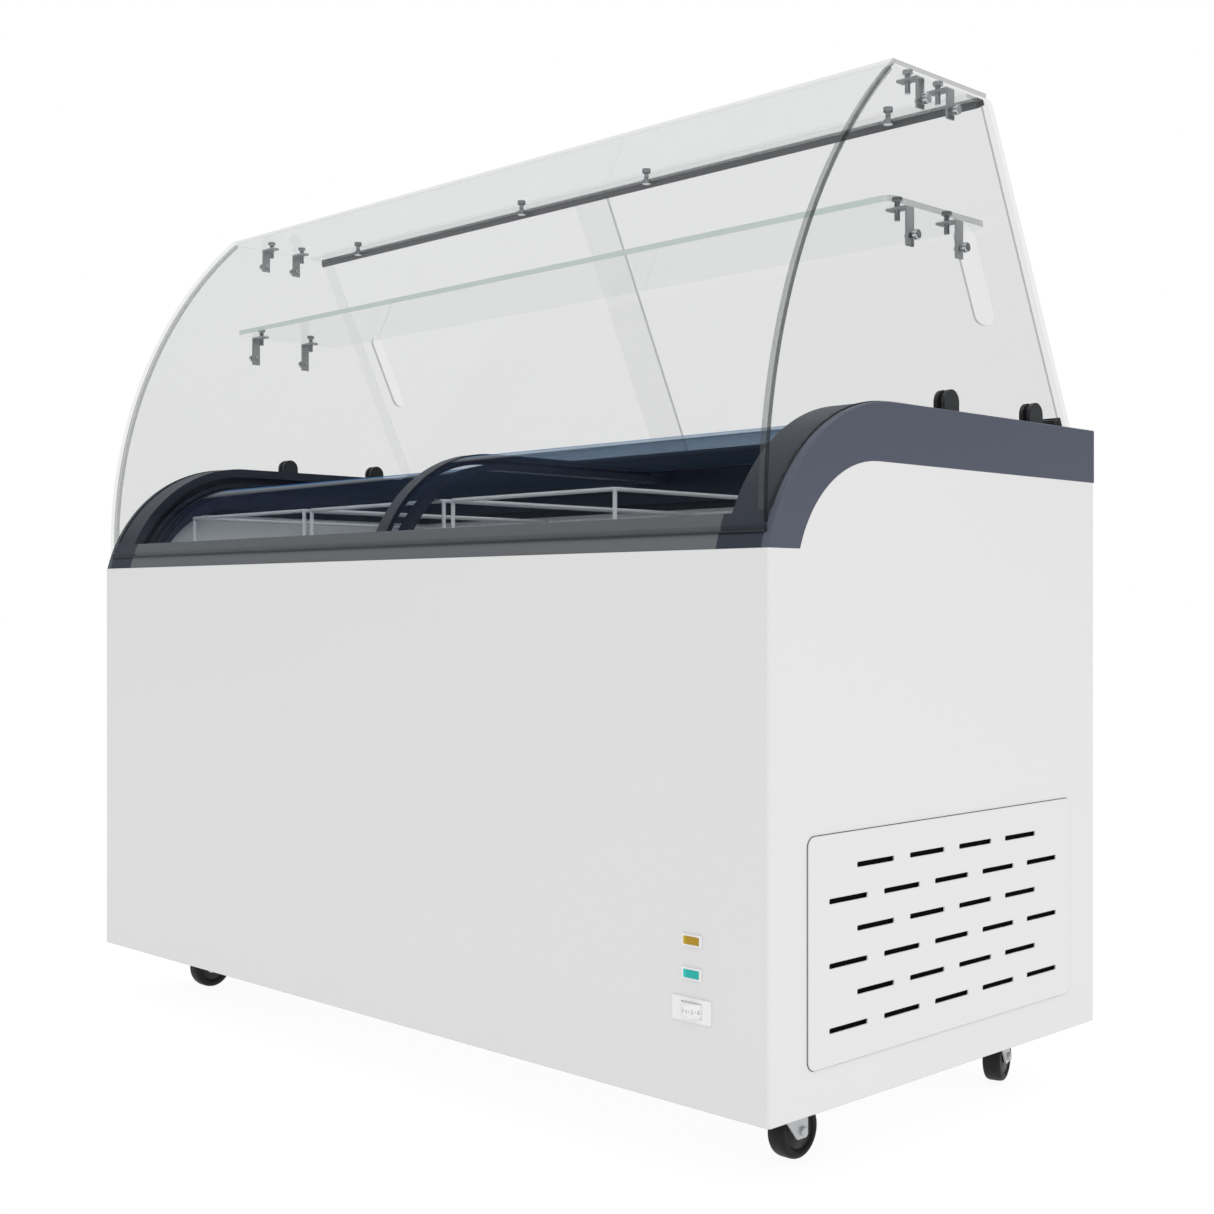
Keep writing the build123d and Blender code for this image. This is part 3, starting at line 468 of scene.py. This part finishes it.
def wire_basket(place, material):
    """A dipped wire basket: an open guard rail on corner posts above a body of close U wires."""
    node = "basket_" + place
    lo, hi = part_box(node)
    thick = 3 * MM
    thin = 1.9 * MM
    x = (lo.x + thick, hi.x - thick)
    y = (lo.y + thick, hi.y - thick)
    top = hi.z - thick
    floor = lo.z + thick
    waist = top - BASKET_RAIL
    shape = Shape()
    loop = rounded_loop((x[0], y[0]), (x[1], y[1]), 5 * MM)
    for level in (top, waist, floor):
        shape.wire([(a, b, level) for a, b in loop], thick, closed=True, sides=12)
    bend = 7 * MM
    gaps_x = 14
    gaps_y = 9
    for n in range(1, gaps_x):
        a = x[0] + (x[1] - x[0]) * n / gaps_x
        shape.wire(u_wire(y, waist, floor, bend, lambda b, z: (a, b, z)), thick if n == 7 else thin)
    for n in range(1, gaps_y):
        b = y[0] + (y[1] - y[0]) * n / gaps_y
        shape.wire(u_wire(x, waist, floor, bend, lambda a, z: (a, b, z)), thick if n % 3 == 0 else thin)
    inset = 1.5 * MM
    for a in (x[0] + inset, x[1] - inset):
        for b in (y[0] + inset, y[1] - inset):
            shape.wire([(a, b, floor), (a, b, top)], thick, sides=10)
    piece = shape.make("basket_wires_" + place, material, "cabinet")
    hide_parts(node)


def u_wire(span, top, floor, bend, point):
    """A wire down one side, across the floor and up the other, with rounded bends."""
    a, b = span
    path = [point(a, top)]
    for centre, start in ((a + bend, 180), (b - bend, 270)):
        for k in range(5):
            turn = math.radians(start + 90 * k / 4)
            path.append(point(centre + bend * math.cos(turn), floor + bend + bend * math.sin(turn)))
    path.append(point(b, top))
    return path


def castor_wheels(rubber, core_plastic):
    """A smooth rubber tyre on a moulded core for each castor."""
    rolls = [j for j in frame["joints"] if j["name"].startswith("castor_roll_")]
    for joint in rolls:
        place = joint["name"].removeprefix("castor_roll_")
        node = "castor_wheel_" + place
        lo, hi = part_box(node)
        radius = (hi.z - lo.z) / 2
        centre = Vector(joint["pos_m"])
        half = 12.5 * MM
        tyre = Shape()
        tyre.lathe(centre, joint["axis"], tyre_profile(radius, half))
        piece = tyre.make("tyre_" + place, rubber, joint["child"])
        core = Shape()
        core.lathe(centre, joint["axis"], core_profile(half))
        core.make("wheel_core_" + place, core_plastic, joint["child"])
        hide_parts(node)


def tyre_profile(radius, half):
    """A smooth crowned tread with rounded shoulders, flat sides and a bore for the core."""
    shoulder = 5 * MM
    right = [(0.0, radius), (0.5 * half, radius - 0.05 * MM)]
    for k in range(7):
        turn = math.radians(90 * k / 6)
        right.append((half - shoulder + shoulder * math.sin(turn),
                      radius - 0.3 * MM - shoulder + shoulder * math.cos(turn)))
    right.append((half, CORE_RADIUS))
    return right + [(-a, r) for a, r in reversed(right) if a > 0]


def core_profile(half):
    """A smooth disc nearly flush with the tyre, with a low hub, bored for the axle."""
    face = half - 0.9 * MM
    hub = half - 0.3 * MM
    chamfer = 1.2 * MM
    bore = 4.1 * MM
    outer = [(face - chamfer, CORE_RADIUS), (face, CORE_RADIUS - chamfer), (face, 10 * MM), (hub, 9 * MM),
             (hub, bore)]
    return outer + [(-a, r) for a, r in reversed(outer)]


def panel_seam(material):
    """A thin dark loop in the seam round the ventilation panel: painted shadow for the gap, made in black
    plastic.
    """
    lo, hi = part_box("service_grille")
    gap = 0.8 * MM
    loop = rounded_loop((lo.y - gap / 2, lo.z - gap / 2), (hi.y + gap / 2, hi.z + gap / 2), 12.4 * MM, 10)
    shape = Shape()
    # painted shadow: a dark loop where the gap round the panel falls in shade
    shape.wire([(lo.x + 0.2 * MM, y, z) for y, z in loop], 0.45 * MM, closed=True)
    shape.make("panel_shadow_line", material, "cabinet")


def dust_filter(material):
    """Black pleated filter behind the panel's slots, nearly black so that it also serves as painted shade for
    the dark inside seen through them.
    """
    lo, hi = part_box("service_grille")
    margin = 16 * MM
    shape = Shape()
    pleats = 120
    front = []
    for n in range(pleats + 1):
        y = lo.y + margin + (hi.y - lo.y - 2 * margin) * n / pleats
        front.append((lo.x - (3.2 * MM if n % 2 else 4.6 * MM), y))
    back = [(x - 1.2 * MM, y) for x, y in reversed(front)]
    bottom = lo.z + margin
    shape.prism([(x, y, bottom) for x, y in front + back], (0, 0, hi.z - lo.z - 2 * margin))
    shape.make("dust_filter", material, "cabinet", smooth=False)


def dial_numbers(material):
    """Generic numbers 1 to 7 and tick marks round the thumbwheel's edge."""
    lo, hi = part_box("thermostat_thumbwheel")
    centre = (lo + hi) / 2
    radius = (hi.x - lo.x) / 2
    tall = 5.2 * MM
    spacing = 26
    for n in range(1, 8):
        curve = bpy.data.curves.new("number", "FONT")
        curve.body = str(n)
        curve.size = tall * 1.35
        curve.align_x = "CENTER"
        curve.extrude = 0.1 * MM
        flat = bpy.data.objects.new("number", curve)
        bpy.context.scene.collection.objects.link(flat)
        mesh = bpy.data.meshes.new_from_object(flat.evaluated_get(bpy.context.evaluated_depsgraph_get()))
        bpy.data.objects.remove(flat)
        middle = math.radians(-90 + (n - 4) * spacing)
        for vertex in mesh.vertices:
            turn = middle + vertex.co.x / radius
            out = radius - 0.06 * MM + vertex.co.z
            vertex.co = (centre.x + out * math.cos(turn), centre.y + out * math.sin(turn),
                         centre.z - tall / 2 + vertex.co.y)
        mesh.materials.clear()
        mesh.materials.append(material)
        piece = bpy.data.objects.new(f"dial_number_{n}", mesh)
        bpy.context.scene.collection.objects.link(piece)
        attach(piece, "thermostat_wheel")
    ticks = Shape()
    for n in range(1, 7):
        turn = math.radians(-90 + (n - 3.5) * spacing)
        out = Vector((math.cos(turn), math.sin(turn), 0))
        side = Vector((-out.y, out.x, 0)) * 0.3 * MM
        base = centre + out * (radius - 0.3 * MM) - Vector((0, 0, 1.6 * MM))
        face = out * 0.32 * MM
        ticks.prism([base - side, base + side, base + side + face, base - side + face], (0, 0, 3.2 * MM))
    ticks.make("dial_ticks", material, "thermostat_wheel", smooth=False)


def crest_path(radius, front_z, rear_y, steps=28):
    """Points (y, z) along a lid: up the arc from its front edge, then level to the rear."""
    y0, z0 = CREST_AXIS
    start = math.pi - math.asin((front_z - z0) / radius)
    points = []
    for n in range(steps + 1):
        turn = start + (math.pi / 2 - start) * n / steps
        points.append((y0 + radius * math.cos(turn), z0 + radius * math.sin(turn)))
    points.append((rear_y, z0 + radius))
    return points


def curved_strip(shape, path, x, thick):
    """A strip of even thickness that follows a lid's side profile."""
    rings = []
    y0, z0 = CREST_AXIS
    for y, z in path:
        out = Vector((0, min(y - y0, 0.0), z - z0)).normalized() * thick
        low = Vector((x[0], y, z))
        high = Vector((x[1], y, z))
        rings.append([low, high, high + out, low + out])
    shape.rings(rings)


def lid_seals(material):
    """Brush seals where the lids overlap."""
    right_lo, right_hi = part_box("lid_frame_right")
    left_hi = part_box("lid_frame_left")[1]
    under = right_hi.z - 8 * MM - CREST_AXIS[1]
    front = right_lo.z + 6 * MM
    seal = Shape()
    path = crest_path(under - 7 * MM, front, right_hi.y - 4 * MM)
    curved_strip(seal, path, (right_lo.x + 2 * MM, right_lo.x + 6 * MM), 6.9 * MM)
    seal.make("lid_brush_right", material, "right_lid", smooth=False)
    seal = Shape()
    top = left_hi.z - CREST_AXIS[1]
    path = crest_path(top, front, left_hi.y - 4 * MM)
    curved_strip(seal, path, (left_hi.x - 4 * MM, left_hi.x - 1.5 * MM), 1.4 * MM)
    seal.make("lid_brush_left", material, "left_lid", smooth=False)


def bead_silicone():
    """Cured grey silicone, half clear."""
    s = Shader("bead_silicone")
    backface = s.add("NewGeometry", output="Backfacing")
    cloud = s.mix(s.noise(60.0, 3.0), (0.55, 0.56, 0.56, 1), (0.60, 0.61, 0.61, 1))
    clear = s.add("BsdfTransparent", {"Color": s.mix(backface, cloud, (0.96, 0.96, 0.96, 1))})
    skin = s.add("BsdfPrincipled", {"Base Color": (0.45, 0.46, 0.46, 1), "Roughness": 0.4})
    return s.finish(s.mix_shader(s.math("MULTIPLY", s.math("SUBTRACT", 1.0, backface), 0.12), clear, skin))


def pane_beads(material):
    """Silicone beads in the corners where the bowed front glass meets the end panes."""
    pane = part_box("side_pane_right")
    inside = pane[0].x - 0.2 * MM
    top = pane[1].z - 1.0 * MM
    foot = pane[0].z + 14 * MM
    outer = BOW_RADIUS - 6.7 * MM
    wide = 8 * MM
    deep = 6 * MM
    steps = 40
    for side, name in ((-1, "pane_bead_left"), (1, "pane_bead_right")):
        rings = []
        for n in range(steps + 1):
            turn = math.asin((foot + (top - foot) * n / steps - BOW_AXIS[1]) / outer)
            ring = []
            for x, r in ((inside, outer), (inside - wide, outer), (inside, outer - deep)):
                ring.append((side * x, BOW_AXIS[0] - r * math.cos(turn), BOW_AXIS[1] + r * math.sin(turn)))
            rings.append(ring)
        shape = Shape()
        shape.rings(rings)
        shape.make(name, material, "cabinet", smooth=False)


def rear_rivets(material):
    """Pop rivets along the foot and both edges of the back sheet."""
    lo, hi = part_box("outer_casing")
    shape = Shape()
    wide = 3.2 * MM
    tall = 0.5 * MM
    centre = 0.01 * MM
    head = [(0.0, centre), (0.0, wide), (-tall, wide), (-tall, centre)]
    inset = 0.018
    corner = 0.04
    first = 0.08
    pitch = 0.11
    along_foot = 12
    places = []
    for n in range(along_foot):
        run = (hi.x - lo.x - 2 * corner) * n / (along_foot - 1)
        places.append((lo.x + corner + run, lo.z + inset))
    for x in (lo.x + inset, hi.x - inset):
        places += [(x, lo.z + first + pitch * n) for n in range(6)]
    for x, z in places:
        shape.lathe((x, hi.y - 0.45 * MM, z), (0, -1, 0), head, 14)
    shape.make("rear_rivets", material, "cabinet", soften=0.3 * MM)


# ---- putting the looks on ----

def plain_materials():
    """Node materials for every slot of the record that isn't sheet glass."""
    return {
        "white_paint": white_paint(),
        "galvanised": galvanised(),
        "foam": foam(),
        "liner": liner(),
        "copper": brushed("copper", (0.72, 0.33, 0.18), 0.35, 0),
        "black_plastic": coated("black_plastic", (0.016, 0.017, 0.019), 0.42, (700.0, 0.00003), coat=0.15),
        "navy_plastic": navy_plastic(),
        "grey_fascia": coated("grey_fascia", (0.112, 0.120, 0.127), 0.4, (1.0, 0.00003), edge=0.0008,
                              stretch=(20.0, 900.0, 900.0)),
        "white_plastic": coated("white_plastic", (0.82, 0.82, 0.82), 0.3, (500.0, 0.00002), vary=0.01,
                                edge=0.0005),
        "amber_lens": lamp_lens("amber_lamp_lens", (0.30, 0.165, 0.0), (0.62, 0.43, 0.02)),
        "green_lens": lamp_lens("green_lamp_lens", (0.0, 0.30, 0.275), (0.05, 0.62, 0.56)),
        "screw_steel": brushed("screw_steel", (0.6, 0.6, 0.6), 0.3, 1),
        "compressor_black": coated("compressor_black", (0.012, 0.012, 0.013), 0.3, (150.0, 0.0001), coat=0.4),
        "fin_aluminium": brushed("fin_aluminium", (0.55, 0.56, 0.57), 0.35, 2),
        "white_wire": wire_coating(),
        "bracket_steel": brushed("bracket_steel", (0.36, 0.37, 0.38), 0.45, 2, polish=0.35),
        "chrome": brushed("chrome", (0.62, 0.63, 0.64), 0.12, 2, polish=0.9),
        "grey_track": coated("grey_track", (0.105, 0.106, 0.115), 0.35, (1.0, 0.00003),
                             stretch=(20.0, 900.0, 900.0)),
        "castor_zinc": brushed("castor_zinc", (0.52, 0.53, 0.54), 0.4, 2, polish=0.5),
        "castor_tyre": tyre_rubber(),
    }


def door_lean():
    """The direction across the rear doors' glass."""
    lo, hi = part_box("rear_door_left")
    thick = 5 * MM
    run = hi.y - lo.y - thick
    rise = hi.z - lo.z
    return tuple(Vector((0, rise, run)).normalized())


def glass_materials():
    end = (1, 0, 0)
    level = (0, 0, 1)
    lean = door_lean()
    return {
        "front_glass": sheet_glass("front_glass_clear", "bow"),
        "top_glass": sheet_glass("top_glass_clear", "flat", level),
        "shelf_glass": sheet_glass("shelf_glass_clear", "flat", level, rim="pale"),
        "track_hanger": sheet_glass("hanger_clear", "flat", level),
        "side_pane_left": sheet_glass("left_pane_clear", "flat", end, rim="dark"),
        "side_pane_right": sheet_glass("right_pane_clear", "flat", end, rim="dark"),
        "rear_door_left": sheet_glass("left_door_clear", "flat", lean),
        "rear_door_right": sheet_glass("right_door_clear", "flat", lean),
        "lid_glass_left": sheet_glass("left_lid_tinted", "crest", lid=True),
        "lid_glass_right": sheet_glass("right_lid_tinted", "crest", lid=True),
    }


def dress_nodes(plain, glass):
    for name, node in NODES.items():
        for holder in node.material_slots:
            slot = holder.material.name.split(".")[0] if holder.material else ""
            holder.material = glass.get(name) or plain[slot]


# ---- stage ----

def floor():
    size = 60.0
    level = -0.002
    mesh = bpy.data.meshes.new("floor")
    corners = [(x, y, level) for x, y in ((-size, -size), (size, -size), (size, size), (-size, size))]
    mesh.from_pydata(corners, [], [(0, 1, 2, 3)])
    s = Shader("pale_floor")
    tint = s.mix(s.noise(3.0, 4.0), (0.10, 0.10, 0.10, 1), (0.12, 0.12, 0.12, 1))
    glow = s.add("Emission", {"Color": (1, 1, 1, 1), "Strength": 0.92})
    mesh.materials.append(s.finish(s.add("AddShader", {0: s.add("BsdfDiffuse", {"Color": tint}), 1: glow})))
    ground = bpy.data.objects.new("floor", mesh)
    bpy.context.scene.collection.objects.link(ground)


def studio():
    """A white surround. Surfaces are lit evenly, a little more from the right. Polished ones reflect a
    softer sky with a dark band."""
    world = bpy.data.worlds.new("studio")
    bpy.context.scene.world = world
    s = Shader(owner=world)
    direction = s.add("TexCoord", output="Generated")
    x, y, z = (s.add("SeparateXYZ", {0: direction}, output=n) for n in range(3))
    even = s.math("ADD", 0.98, s.math("ADD", s.math("MULTIPLY", x, 0.265), s.math("MULTIPLY", y, 0.05)))
    even = s.math("ADD", even, s.math("MULTIPLY", z, 0.05))
    height = s.add("MapRange", {0: z, 1: -0.1, 2: 1.0})
    sky = s.ramp(height, [
        (0.0, (0.60, 0.61, 0.62)), (0.14, (0.35, 0.36, 0.37)), (0.20, (0.04, 0.042, 0.048)),
        (0.26, (0.05, 0.055, 0.06)), (0.34, (0.38, 0.40, 0.42)), (0.6, (0.75, 0.77, 0.79)),
        (1.0, (0.9, 0.9, 0.9))])
    glossy = s.add("LightPath", output="Is Glossy Ray")
    camera = s.add("LightPath", output="Is Camera Ray")
    plain = s.add("CombineColor", {0: even, 1: even, 2: even})
    colour = s.mix(glossy, plain, sky)
    colour = s.mix(camera, colour, (1, 1, 1, 1))
    s.finish(s.add("Background", {"Color": colour}), "OutputWorld")


def softbox(name, at, aim, size, power):
    lamp = bpy.data.lights.new(name, "AREA")
    lamp.shape = "RECTANGLE"
    lamp.size, lamp.size_y = size
    lamp.energy = power
    holder = bpy.data.objects.new(name, lamp)
    holder.location = at
    holder.rotation_euler = (Vector(aim) - Vector(at)).to_track_quat("-Z", "Y").to_euler()
    bpy.context.scene.collection.objects.link(holder)


def camera():
    """Level camera at the height of the front wall's top, looking at the front right corner."""
    lens = bpy.data.cameras.new("camera")
    lens.sensor_width = 36.0
    lens.lens = 50.15               # millimetres, for a frame 36 mm wide
    lens.clip_end = 200.0
    holder = bpy.data.objects.new("camera", lens)
    holder.location = (1.9385, -1.7961, 0.6622)
    holder.rotation_euler = (math.radians(90), 0, math.radians(45.2))
    bpy.context.scene.collection.objects.link(holder)
    bpy.context.scene.camera = holder


def build():
    plain = plain_materials()
    dress_nodes(plain, glass_materials())
    for place in ("left", "centre", "right"):
        wire_basket(place, plain["white_wire"])
    core = coated("wheel_core", (0.008, 0.008, 0.009), 0.4, (300.0, 0.00002), specular=0.3)
    castor_wheels(plain["castor_tyre"], core)
    panel_seam(plain["black_plastic"])
    # near-black felt: partly the filter's colour, partly painted shade for the dark inside behind the slots
    dust_filter(coated("filter_felt_and_shade_black", (0.005, 0.005, 0.006), 0.9, (900.0, 0.0001), specular=0.1))
    ink = coated("dial_ink", (0.30, 0.31, 0.32), 0.5)
    dial_numbers(ink)
    lid_seals(plain["black_plastic"])
    rear_rivets(plain["screw_steel"])
    pane_beads(bead_silicone())
    floor()
    studio()
    softbox("key_softbox", (3.5, -3.0, 4.0), (0, 0, 0.7), (2.5, 2.5), 18.0)
    camera()
    scene = bpy.context.scene
    scene.view_settings.view_transform = "Standard"
    scene.cycles.transparent_max_bounces = 48
    scene.cycles.max_bounces = 12


build()
